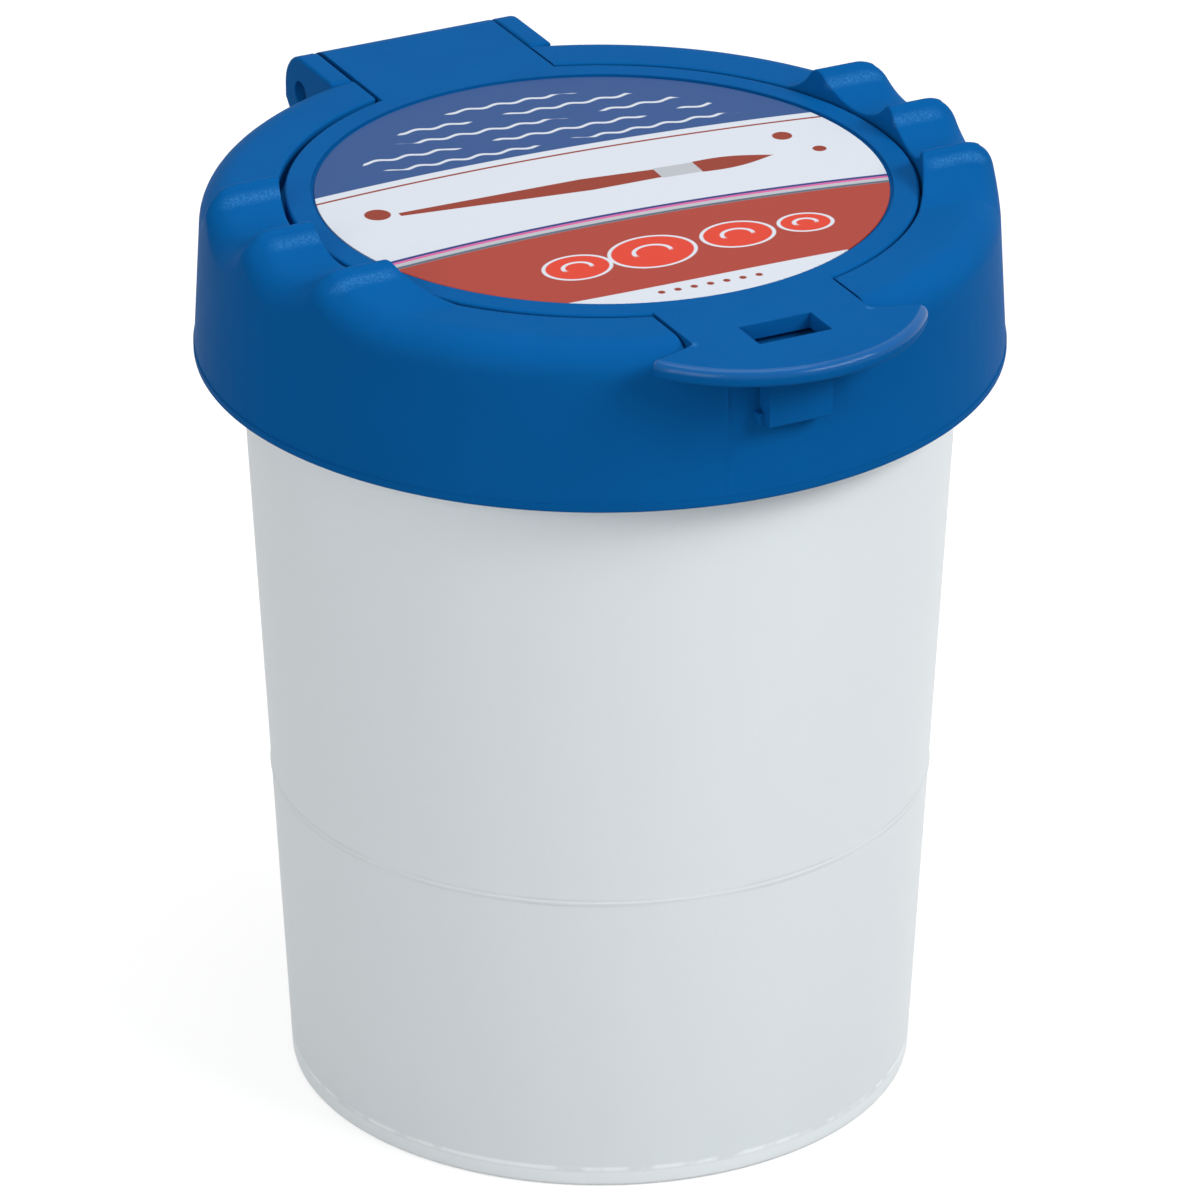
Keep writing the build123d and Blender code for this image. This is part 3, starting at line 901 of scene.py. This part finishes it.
class PAINTCUP_OT_cup(bpy.types.Operator):
    """Frosted cup with its foot ring, fill mark and threaded neck"""
    bl_idname = "paintcup.cup"
    bl_label = "Cup"

    def execute(self, context):
        cup = settings("cup")
        slope = tan(cup.draft)
        floor_top = cup.foot_recess + cup.floor
        neck_base = cup.rim_height - cup.neck_length
        neck = neck_radius()
        foot_inner = cup.foot_radius - cup.wall

        def wall(height):
            return cup.foot_radius + height * slope

        mark = cup.mark_height
        half_mark = cup.mark_width / 2
        bm = turned([
            (0, cup.foot_recess, 0), (foot_inner, cup.foot_recess, 0),
            (foot_inner, 0, cup.rim_round), (cup.foot_radius, 0, cup.foot_round),
            (wall(mark - half_mark), mark - half_mark, 0),
            (wall(mark) + cup.mark_proud, mark, 0),
            (wall(mark + half_mark), mark + half_mark, 0),
            (neck, neck_base, 0), (neck, cup.rim_height, cup.rim_round),
            (neck - cup.wall, cup.rim_height, cup.rim_round), (neck - cup.wall, neck_base, 0),
            (wall(floor_top) - cup.wall, floor_top, cup.floor_round), (0, floor_top, 0),
        ])
        ridge = thread_ridge(neck, neck + settings("thread").depth, cup_thread_start())
        bm = combined(bm, "UNION", [ridge])
        finish_piece(bm, "cup_body", "cup", "cup", "frosted_plastic")
        return {"FINISHED"}


def cup_thread_start():
    thread = settings("thread")
    return settings("cup").rim_height - thread.rim_gap - thread.pitch * thread.turns


def rest_height(y):
    """Height of the brush rests at a place along Y: crests with concave slopes between."""
    rest = settings("rest")
    crest = high("screw_collar").z
    number = max(-1, min(1, round((y - rest.middle_y) / rest.pitch)))
    crest_y = rest.middle_y + number * rest.pitch
    ramp_end = ring_top() - rest.foot_sink
    run, foot = rest.pitch / 2, ring_top() + rest.valley_rise
    if number == -1 and y < crest_y:
        run, foot = rest.front_run, ramp_end
    if number == 1 and y > crest_y:
        run, foot = rest.back_run, ramp_end
    away, drop = abs(y - crest_y), crest - foot
    if away >= run:
        return ring_top()
    middle = (run ** 2 + drop ** 2) / (2 * drop)
    if away < rest.crest_round / middle * run:
        return crest - rest.crest_round + sqrt(rest.crest_round ** 2 - away ** 2)
    slope = middle - rest.crest_round
    return foot + slope - sqrt(slope ** 2 - (run - away) ** 2)


class PAINTCUP_OT_collar(bpy.types.Operator):
    """Screw collar with its brush rests, hinge ears, latch catch and inner thread"""
    bl_idname = "paintcup.collar"
    bl_label = "Screw collar"

    def execute(self, context):
        bm = self.turned_ring()
        self.raise_rests(bm)
        bm = combined(bm, "UNION", [*map(self.ear, (-1, 1)), self.catch(), self.thread()])
        bm = combined(bm, "DIFFERENCE", self.cuts())
        finish_piece(bm, "collar_moulding", "screw_collar", "collar", "blue_plastic")
        return {"FINISHED"}

    def turned_ring(self):
        """The collar's section, finely divided under the rests, turned round."""
        collar = settings("collar")
        top = ring_top()
        base = collar.base
        band_top = base + collar.band_height
        bore = bore_radius()
        band = skirt_radius(base) + collar.band_proud
        mouth = skirt_radius(base) - collar.mouth_wall
        mouth_top = base + collar.mouth_depth
        longest_on_top, longest_outside = 0.5 * MM, 1.5 * MM
        bm = bmesh.new()
        outline(bm, [
            (mouth, base, 0), (band, base, collar.edge_round),
            (band, band_top, 0), (skirt_radius(band_top), band_top, 0),
            (skirt_radius(top), top, collar.top_round),
            (recess_radius(), top, collar.ring_edge_round),
            (recess_radius(), collar.recess_floor, 0), (mouth_radius(), collar.recess_floor, 0),
            (mouth_radius(), collar.deck_base, 0), (bore, collar.deck_base, 0),
            (bore, mouth_top + collar.mouth_taper, 0), (mouth, mouth_top, 0),
        ])
        on_top = top - 0.01 * MM
        split_edges(bm, lambda edge: ends(edge, "z")[0] > on_top, longest_on_top)
        split_edges(bm, lambda edge: ends(edge, "x")[0] > bore + MM, longest_outside)
        turn(bm, settings("stage").collar_steps)
        self.raise_seam(bm)
        return bm

    def raise_seam(self, bm):
        """The mould's parting line down the skirt, as one raised column of the mesh."""
        collar = settings("collar")
        half_step = pi / settings("stage").collar_steps
        band_top = collar.base + collar.band_height
        for vert in bm.verts:
            radius = hypot(vert.co.x, vert.co.y)
            on_skirt = radius > shoulder_radius() - MM and vert.co.z > band_top
            turn_off = vert.co.xy.angle_signed(Vector((1, 0))) - collar.seam_turn
            if on_skirt and abs(turn_off) < half_step:
                vert.co.xy *= (radius + collar.seam_proud) / radius

    def raise_rests(self, bm):
        """Lifts the ring's top by the rests' height, drawn in along the skirt's draft."""
        collar = settings("collar")
        shoulder = ring_top() - collar.top_round
        inner_edge = recess_radius() + collar.ring_edge_round
        skirt_inside = shoulder_radius() - collar.wall
        for vert in bm.verts:
            radius = hypot(vert.co.x, vert.co.y)
            lowest = ring_top() - 1.5 * collar.ring_edge_round if radius < inner_edge else shoulder
            if vert.co.z < lowest - MERGE_DISTANCE or radius < recess_radius() - MERGE_DISTANCE:
                continue
            lift = max(0.0, rest_height(vert.co.y) - ring_top())
            drawn_in = lift * tan(collar.draft) if radius > skirt_inside else 0.0
            vert.co.xy *= (radius - drawn_in) / radius
            vert.co.z += lift

    def ear(self, side):
        """One hinge ear with its web running down into the skirt."""
        hinge = settings("hinge")
        top = HINGE.z + hinge.ear_radius
        back = HINGE.y + hinge.ear_radius
        root = shoulder_radius() - settings("collar").ring_width / 2
        corners = [(root, top, 0), (back, top, hinge.ear_radius),
                   (back, HINGE.z - hinge.ear_drop, hinge.edge_round),
                   (shoulder_radius() - settings("collar").wall, HINGE.z - hinge.web_length, 0),
                   (root, HINGE.z - hinge.web_length, 0)]
        middle = hinge.tongue_half_width + settings("flap").slot_gap + hinge.ear_thickness / 2
        bm = across(corners, hinge.ear_thickness / 2, side * middle)
        soften(bm, lambda edge: ends(edge, "y")[0] > shoulder_radius() - MM
               or ends(edge, "z")[0] > top - MERGE_DISTANCE, hinge.edge_round)
        return bm

    def catch(self):
        """Small rib above the latch's foot, sloped on top."""
        flap = settings("flap")
        base, tip = catch_base(), catch_tip()
        root = -(bore_radius() + settings("collar").wall / 2)
        top = base + flap.catch_height
        return across([(root, base, 0), (tip, base, 0), (tip, top - flap.catch_slope, 0),
                       (root, top, 0)],
                      flap.catch_half_width)

    def thread(self):
        """The collar's own ridge, between the turns of the cup's."""
        thread = settings("thread")
        offset = (thread.root_width + thread.crest_width) / 2 + thread.flank_gap
        return thread_ridge(bore_radius(), neck_radius() + thread.clearance,
                            cup_thread_start() - offset)

    def cuts(self):
        """The slots that the neck and the tongue lie in, and the pin's hole."""
        collar, flap, hinge = settings("collar"), settings("flap"), settings("hinge")
        neck = flap.neck_half_width + flap.slot_gap
        tongue = hinge.tongue_half_width + flap.slot_gap
        far = HINGE.y + 2 * hinge.ear_radius
        sky = high("screw_collar").z + OVERRUN
        hole = rod(hinge.pin_radius + hinge.running_gap, HINGE.y)
        near = mouth_radius() + OVERRUN
        return [box((-neck, -far, collar.recess_floor), (neck, -near, sky)),
                box((-tongue, near, collar.recess_floor), (tongue, far, sky)), hole]


class PAINTCUP_OT_flap(bpy.types.Operator):
    """Hinged flap with its plug ring, tongue, finger tab and latch hook"""
    bl_idname = "paintcup.flap"
    bl_label = "Flap"

    def execute(self, context):
        hinge = settings("hinge")
        bm = combined(lie_off(self.disc()), "UNION", [self.tongue(), self.tab()])
        bm = combined(bm, "DIFFERENCE", [lie_off(self.pocket()), self.groove(), self.window()])
        bm = combined(bm, "UNION", [self.plug(), self.hook()])
        bore = rod(hinge.pin_radius + hinge.press_gap, hinge.tongue_half_width + OVERRUN)
        bm = combined(bm, "DIFFERENCE", [bore])
        finish_piece(bm, "flap_moulding", "flap_lid", "flap", "blue_plastic")
        return {"FINISHED"}

    def disc(self):
        """Round plate, chamfered below."""
        flap = settings("flap")
        top, radius = high("flap_lid").z, high("flap_lid").x
        base = top - flap.thickness
        return turned([(0, base, 0), (radius - flap.edge_chamfer, base, 0),
                       (radius, base + flap.edge_chamfer, 0), (radius, top, flap.edge_round),
                       (0, top, 0)])

    def tongue(self):
        """Plate over the ring that ends in the heel round the barrel."""
        flap, hinge = settings("flap"), settings("hinge")
        top = high("flap_lid").z
        base = top - flap.thickness
        back = HINGE.y + hinge.ear_radius
        barrel = hinge.barrel_radius
        heel_round = barrel * 0.999  # so that the two rounds don't meet in one point
        front, rear, heel = HINGE.y - barrel, HINGE.y + barrel, HINGE.z - barrel
        root = mouth_radius()
        bm = across([(root, top, 0), (back, top, hinge.ear_radius), (back, HINGE.z, 0),
                     (rear, HINGE.z, 0), (rear, heel, heel_round), (front, heel, heel_round),
                     (front, base, 0), (root, base, 0)], hinge.tongue_half_width)
        inside = high("flap_lid").x - MM
        soften(bm, lambda edge: ends(edge, "y")[1] > inside
               and all(abs(v.co.x) > hinge.tongue_half_width - MM / 10 for v in edge.verts)
               and abs(edge.verts[0].co.x - edge.verts[1].co.x) < MM, hinge.edge_round * 0.7)
        return bm

    def tab(self):
        """Neck and finger tab in one plate: a circle cut off behind, with rounded tips."""
        flap = settings("flap")
        top, front = high("flap_lid").z, low("flap_lid").y
        radius, half = flap.tab_radius, flap.neck_half_width
        root = flap.tab_root_y
        tip_length = 1.8 * flap.tip_round
        bm = bmesh.new()
        bmesh.ops.create_circle(bm, cap_ends=True, segments=180, radius=radius,
                                matrix=Matrix.Translation((0, front + radius, top)))
        sweep, reach = flap.wing_sweep, radius - half
        for side, normal in ((0, (0, 1, 0)), (1, (sweep, reach, 0)), (-1, (-sweep, reach, 0))):
            bmesh.ops.bisect_plane(bm, geom=bm.verts[:] + bm.edges[:] + bm.faces[:],
                                   plane_co=(side * half, root, top), plane_no=normal,
                                   clear_outer=True)
        for side in (-1, 1):
            tip = max(bm.verts, key=lambda vert: side * vert.co.x)
            near = [vert for vert in bm.verts
                    if vert is not tip and (vert.co - tip.co).length < tip_length]
            bmesh.ops.dissolve_verts(bm, verts=near)
            round_corner(bm, tip, flap.tip_round, steps=7)
        rear = [edge for edge in bm.edges
                if all(abs(v.co.y - root) < MERGE_DISTANCE for v in edge.verts)]
        move_new(bm, bmesh.ops.extrude_edge_only(bm, edges=rear),
                 (0, -root - mouth_radius() + OVERRUN, 0))
        bmesh.ops.dissolve_limit(bm, angle_limit=radians(0.2), verts=bm.verts, edges=bm.edges)
        move_new(bm, bmesh.ops.extrude_face_region(bm, geom=bm.faces[:]),
                 (0, 0, -flap.tab_thickness))
        close(bm)
        behind = root - MERGE_DISTANCE
        soften(bm, lambda edge: ends(edge, "z")[0] > top - MERGE_DISTANCE
               and ends(edge, "y")[1] < behind + 0.01 * MM
               and not all(abs(v.co.y - root) < MERGE_DISTANCE for v in edge.verts),
               flap.tab_edge_round, steps=6)
        base = top - flap.tab_thickness
        soften(bm, lambda edge: ends(edge, "z")[1] < base + MERGE_DISTANCE
               and ends(edge, "y")[1] < behind, flap.edge_round)
        return bm

    def pocket(self):
        """Cut for the label's recess."""
        flap = settings("flap")
        top = high("flap_lid").z
        radius = high("flap_label").x + flap.label_gap
        return ring(0, radius, top - flap.label_recess, top + OVERRUN)

    def groove(self):
        """Cut for the seal under the disc."""
        flap = settings("flap")
        inner = low_radius("flap_seal") - flap.groove_ease
        outer = high("flap_seal").x + flap.groove_ease
        top = high("flap_seal").z
        return ring(inner, outer, top - OVERRUN, top)

    def window(self):
        """Cut for the window above the hook."""
        flap = settings("flap")
        front = hook_back()
        top = high("flap_lid").z
        half = flap.window_half_width
        return box((-half, front, top - flap.thickness - OVERRUN),
                   (half, front + flap.window_length, top + OVERRUN))

    def plug(self):
        """Plug ring below the disc, with a lead-in chamfer."""
        flap = settings("flap")
        base = high("flap_lid").z - flap.thickness - flap.plug_depth
        root = high("flap_lid").z - flap.thickness + flap.edge_chamfer
        outer = low_radius("flap_seal") - flap.groove_ease
        inner = outer - flap.plug_wall
        return turned([(inner, base, flap.plug_chamfer / 2), (outer, base, flap.plug_chamfer),
                       (outer, root, 0), (inner, root, 0)])

    def hook(self):
        """Latch plate below the tab, and its wider foot that points back at the skirt."""
        flap = settings("flap")
        base = low("flap_lid").z
        root = high("flap_lid").z - flap.tab_thickness / 2
        back = hook_back()
        front = back - flap.hook_thickness
        rib_tip = -(skirt_radius(base) + flap.rib_gap)
        foot_top = base + flap.foot_height
        edge = flap.edge_round / 2
        plate = across([(front, base, edge), (front, root, 0), (back, root, 0), (back, base, 0)],
                       flap.hook_half_width)
        soften(plate, lambda edge: ends(edge, "y")[1] < front + MERGE_DISTANCE, edge)
        foot = across([(back - edge, base, 0), (back, base, 0),
                       (foot_tip(), foot_top - flap.foot_height / 2, 0),
                       (foot_tip(), foot_top, 0), (back - edge, foot_top, 0)],
                      flap.catch_half_width + flap.catch_gap + edge)
        toes = []
        for side in (-1, 1):
            for outer, lowest, highest in ((flap.foot_half_width, base + edge / 3, foot_top),
                                           (flap.hook_half_width, foot_top - edge, root)):
                inner = flap.catch_half_width + flap.catch_gap
                toes.append(across([(back - 2 * edge, lowest, 0), (back, lowest, 0),
                                    (rib_tip, min(lowest + flap.foot_height / 2, highest), 0),
                                    (rib_tip, highest, 0), (back - 2 * edge, highest, 0)],
                                   (outer - inner) / 2, side * (outer + inner) / 2))
        return combined(plate, "UNION", [foot, *toes])


def lie_off(bm):
    """Moves a mesh by the flap's play, as it lies in the photograph."""
    flap = settings("flap")
    bmesh.ops.translate(bm, verts=bm.verts, vec=(flap.play_x, flap.play_y, 0))
    return bm


def low_radius(node):
    """Inner radius of a ring node, read from its vertices."""
    return min(hypot(v.co.x, v.co.y) for v in frame["nodes"][node].data.vertices)


class PAINTCUP_OT_label(bpy.types.Operator):
    """Thin round label in the flap's recess"""
    bl_idname = "paintcup.label"
    bl_label = "Label"

    def execute(self, context):
        base, top = low("flap_label").z, high("flap_label").z
        radius = high("flap_label").x
        edge = (top - base) / 3
        bm = turned([(0, base, 0), (radius, base, 0), (radius, top, edge), (0, top, 0)])
        finish_piece(lie_off(bm), "printed_label", "flap_label", "flap", "label_film")
        return {"FINISHED"}


class PAINTCUP_OT_guard(bpy.types.Operator):
    """Spill funnel under the collar and the gasket on the cup's rim"""
    bl_idname = "paintcup.guard"
    bl_label = "Spill funnel and gasket"

    def execute(self, context):
        funnel = settings("funnel")
        top, base = high("spill_funnel").z, low("spill_funnel").z
        flange = high("spill_funnel").x
        flange_base = high("rim_gasket").z
        mouth = mouth_radius()
        mouth_base = top - funnel.mouth_depth
        cone_base = mouth_base - funnel.cone_depth
        tube, tube_outer = funnel.tube_radius, funnel.tube_radius + funnel.wall
        edge = funnel.edge_round
        bm = turned([
            (mouth, top, edge), (flange, top, edge), (flange, flange_base, edge),
            (mouth + funnel.wall, flange_base, 0), (mouth + funnel.wall, mouth_base, funnel.wall),
            (tube_outer, cone_base, funnel.wall), (tube_outer, base, edge), (tube, base, edge),
            (tube, cone_base, funnel.wall), (mouth, mouth_base, funnel.wall),
        ])
        finish_piece(bm, "funnel_insert", "spill_funnel", "carrier", "natural_plastic")
        finish_piece(ring_of("rim_gasket"), "gasket_ring", "rim_gasket", "carrier",
                     "gasket_rubber")
        return {"FINISHED"}


def ring_of(node):
    """Flat ring with softened edges where a ring node is."""
    base, top = low(node).z, high(node).z
    return ring(low_radius(node), high(node).x, base, top, (top - base) / 5)


class PAINTCUP_OT_flap_fittings(bpy.types.Operator):
    """Seal ring under the flap and the hinge pin"""
    bl_idname = "paintcup.flap_fittings"
    bl_label = "Seal and hinge pin"

    def execute(self, context):
        finish_piece(ring_of("flap_seal"), "seal_ring", "flap_seal", "flap", "gasket_rubber")
        pin = settings("hinge").pin_radius
        bm = rod(pin, high("hinge_pin").x)
        rims = [edge for edge in bm.edges if abs(edge.verts[0].co.x - edge.verts[1].co.x) < MM]
        bevel(bm, rims, pin / 5, steps=3)
        close(bm)
        finish_piece(bm, "pin_rod", "hinge_pin", "flap", "pin_plastic")
        return {"FINISHED"}


class PAINTCUP_OT_stage(bpy.types.Operator):
    """Floor, surroundings, lamps and camera"""
    bl_idname = "paintcup.stage"
    bl_label = "Stage"

    def execute(self, context):
        self.floor()
        self.world()
        self.lamps()
        self.camera()
        context.scene.view_settings.view_transform = "Standard"
        return {"FINISHED"}

    def floor(self):
        """Pale floor that shows white but keeps the object's shadow."""
        stage = settings("stage")
        bm = bmesh.new()
        bmesh.ops.create_grid(bm, x_segments=1, y_segments=1, size=stage.floor_half_width)
        floor = stand_in(bm, "floor")
        pale = bpy.data.materials.new("pale_floor")
        pale.use_nodes = True
        tree = pale.node_tree
        shader = tree.nodes["Principled BSDF"]
        set_levels(shader, {"Base Color": (*[stage.floor_grey] * 3, 1), "Roughness": 0.9,
                            "Specular IOR Level": 0.0, "Emission Color": (1, 1, 1, 1)})
        seen = seen_ray(tree) * stage.floor_glow
        tree.links.new(seen.socket, shader.inputs["Emission Strength"])
        floor.data.materials.append(pale)

    def world(self):
        """White to the eye and in reflections, softer as a light."""
        world = bpy.data.worlds.new("studio")
        bpy.context.scene.world = world
        world.use_nodes = True
        tree = world.node_tree
        background = tree.nodes["Background"]
        background.inputs["Color"].default_value = (1, 1, 1, 1)
        ambient = settings("stage").ambient
        level = seen_ray(tree) * (1 - ambient) + ambient
        tree.links.new(level.socket, background.inputs["Strength"])

    def lamps(self):
        """Big soft key from the right, a top light and a weak fill from the left."""
        middle = Vector((0, 0, 60 * MM))
        for name, spot, width, depth, energy in (
                ("key", (0.5, -0.62, 0.64), 0.7, 0.3, 6.5),
                ("top", (0.05, 0.15, 0.95), 0.6, 0.6, 3.4),
                ("fill", (-0.72, -0.45, 0.35), 0.5, 0.5, 3.0)):
            light = bpy.data.lights.new(name, "AREA")
            light.shape = "RECTANGLE"
            light.size = width
            light.size_y = depth
            light.energy = energy
            lamp = bpy.data.objects.new(name, light)
            bpy.context.scene.collection.objects.link(lamp)
            lamp.location = spot
            aim = middle - Vector(spot)
            lamp.rotation_euler = aim.to_track_quat("-Z", "Y").to_euler()

    def camera(self):
        """Camera at the reference view: a long lens from the front left, above."""
        stage = settings("stage")
        camera = bpy.data.objects.new("camera", bpy.data.cameras.new("camera"))
        bpy.context.scene.collection.objects.link(camera)
        camera.data.sensor_width = stage.sensor_width
        camera.data.lens = stage.lens
        turn_round = Matrix.Rotation(stage.camera_turn, 4, "Z")
        tilt = Matrix.Rotation(pi / 2 - stage.camera_rise, 4, "X")
        lift = Matrix.Translation((0, 0, stage.target_height))
        away = Matrix.Translation((0, 0, stage.camera_distance))
        camera.matrix_world = lift @ (turn_round @ tilt) @ away
        camera.data.clip_start = stage.camera_distance / 100
        camera.data.clip_end = stage.camera_distance * 20
        bpy.context.scene.camera = camera


def seen_ray(tree):
    """1 for rays from the eye and through or off gloss and glass, 0 for others."""
    path = tree.nodes.new("ShaderNodeLightPath")
    camera, glossy, clear = (Field(tree, path.outputs[name]) for name in
                             ("Is Camera Ray", "Is Glossy Ray", "Is Transmission Ray"))
    return camera.either(glossy).either(clear)


OPERATORS = (PAINTCUP_OT_cup, PAINTCUP_OT_collar, PAINTCUP_OT_flap, PAINTCUP_OT_label,
             PAINTCUP_OT_guard, PAINTCUP_OT_flap_fittings, PAINTCUP_OT_stage)


class PAINTCUP_PT_panel(bpy.types.Panel):
    """Lists the pieces and the stage"""
    bl_idname = "PAINTCUP_PT_panel"
    bl_label = "Paint Cup"
    bl_space_type = "VIEW_3D"
    bl_region_type = "UI"
    bl_category = "Paint Cup"

    def draw(self, context):
        for operator in OPERATORS:
            self.layout.operator(operator.bl_idname)
        for group in GROUPS:
            sizes = getattr(context.scene, "paintcup_" + group)
            column = self.layout.column(heading=group)
            for name in sizes.__annotations__:
                column.prop(sizes, name)


def register():
    for group, sizes in GROUPS.items():
        bpy.utils.register_class(sizes)
        setattr(bpy.types.Scene, "paintcup_" + group, PointerProperty(type=sizes))
    for item in (*OPERATORS, PAINTCUP_PT_panel):
        bpy.utils.register_class(item)


def unregister():
    for item in (PAINTCUP_PT_panel, *reversed(OPERATORS)):
        bpy.utils.unregister_class(item)
    for group, sizes in GROUPS.items():
        delattr(bpy.types.Scene, "paintcup_" + group)
        bpy.utils.unregister_class(sizes)


def main():
    register()
    bpy.ops.paintcup.stage()
    bpy.ops.paintcup.cup()
    bpy.ops.paintcup.collar()
    bpy.ops.paintcup.guard()
    bpy.ops.paintcup.flap()
    bpy.ops.paintcup.label()
    bpy.ops.paintcup.flap_fittings()


if __name__ == "__main__":
    main()
